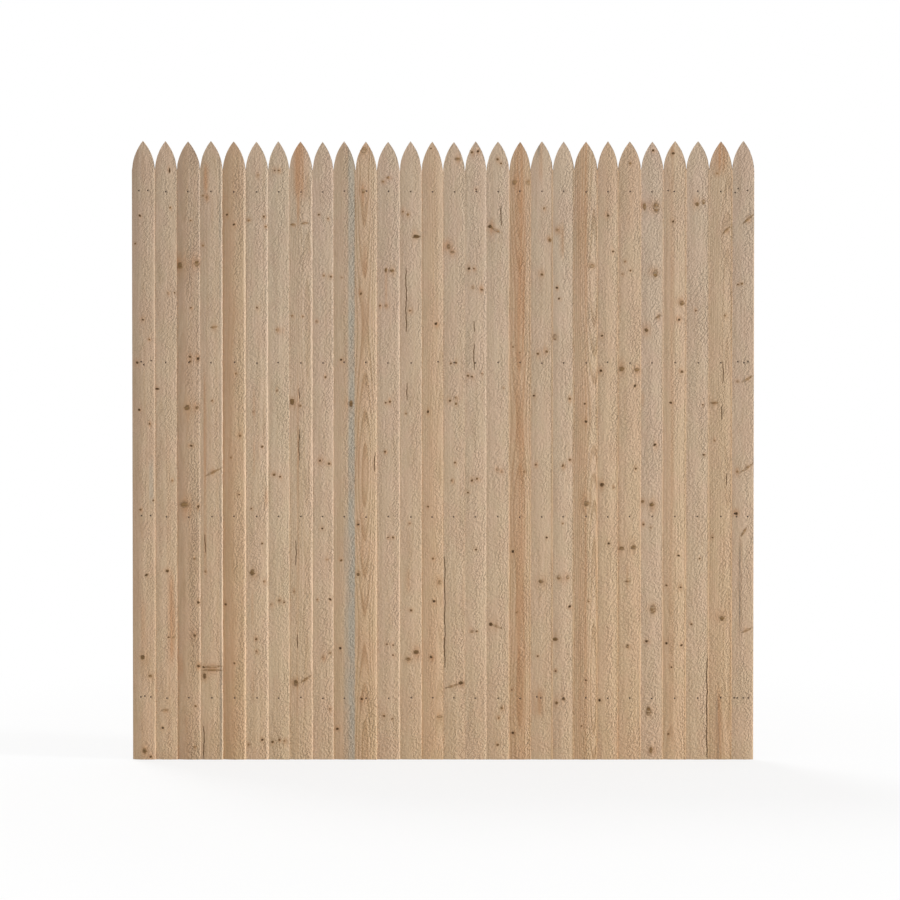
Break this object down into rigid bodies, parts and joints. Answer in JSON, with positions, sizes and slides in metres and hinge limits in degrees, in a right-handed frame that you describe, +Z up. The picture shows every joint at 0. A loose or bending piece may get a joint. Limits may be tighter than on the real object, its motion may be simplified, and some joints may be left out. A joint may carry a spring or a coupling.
{
  "type": "fence panel",
  "caption": "Stockade fence panel of rough-sawn spruce: close-set pickets with gothic points and crowned faces, nailed to backing rails, set between posts as a screen.",
  "frame": {"origin": "centre of the flat back of the bottom rail, the face that goes against a post", "axes": "+Z up along the pickets, +X to the right as seen from the front, the pickets' faces look towards -Y"},
  "size_m": [1.828, 0.0558, 1.82],
  "materials": {
    "picket_wood": "rough-sawn, unfinished",
    "rail_wood": "sawn, unfinished",
    "nail_steel": "dull, weathered"
  },
  "bodies": {
    "root": {"picket_01": "picket_wood", "picket_02": "picket_wood", "picket_03": "picket_wood", "picket_04": "picket_wood", "picket_05": "picket_wood", "picket_06": "picket_wood", "picket_07": "picket_wood", "picket_08": "picket_wood", "picket_09": "picket_wood", "picket_10": "picket_wood", "picket_11": "picket_wood", "picket_12": "picket_wood", "picket_13": "picket_wood", "picket_14": "picket_wood", "picket_15": "picket_wood", "picket_16": "picket_wood", "picket_17": "picket_wood", "picket_18": "picket_wood", "picket_19": "picket_wood", "picket_20": "picket_wood", "picket_21": "picket_wood", "picket_22": "picket_wood", "picket_23": "picket_wood", "picket_24": "picket_wood", "picket_25": "picket_wood", "picket_26": "picket_wood", "picket_27": "picket_wood", "picket_28": "picket_wood", "bottom_rail": "rail_wood", "lower_middle_rail": "rail_wood", "upper_middle_rail": "rail_wood", "top_rail": "rail_wood"}
  },
  "joints": []
}
